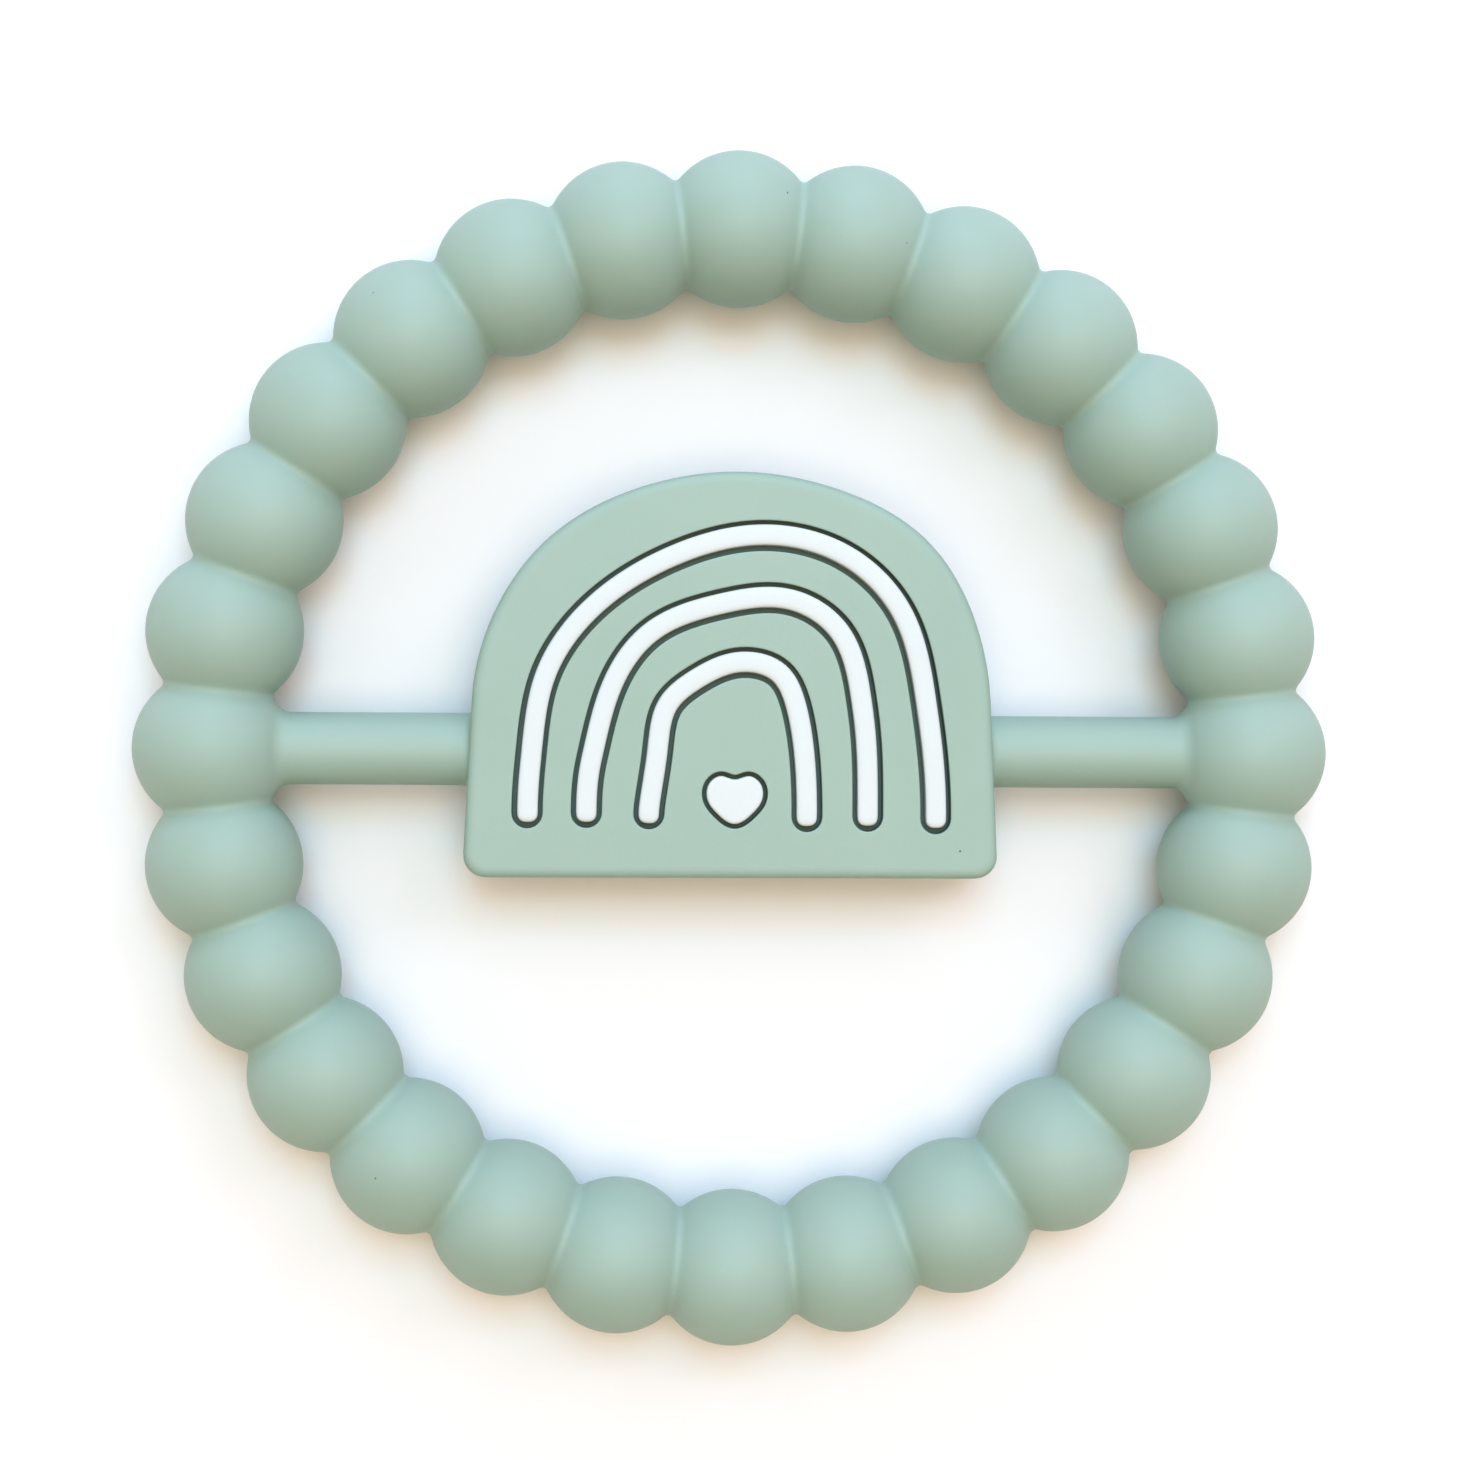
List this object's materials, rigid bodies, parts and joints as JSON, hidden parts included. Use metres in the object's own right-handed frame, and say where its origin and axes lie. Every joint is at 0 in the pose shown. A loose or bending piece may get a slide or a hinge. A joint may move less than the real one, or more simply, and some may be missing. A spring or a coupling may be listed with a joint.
{
  "type": "teething ring",
  "caption": "Beaded silicone teething ring with a round crossbar that carries an arched plaque with inlaid arches and a heart.",
  "frame": {"origin": "centre of the ring, at the surface that it lies flat on", "axes": "+Z out of the plaque's decorated face, +Y towards the top of the rainbow, X along the crossbar"},
  "size_m": [0.108, 0.108, 0.014],
  "materials": {
    "sage_silicone": "satin moulded silicone",
    "white_silicone": "satin moulded silicone"
  },
  "bodies": {
    "root": {"ring_body": "sage_silicone", "outer_arch_inlay": "white_silicone", "middle_arch_inlay": "white_silicone", "inner_arch_inlay": "white_silicone", "heart_inlay": "white_silicone"}
  },
  "joints": []
}
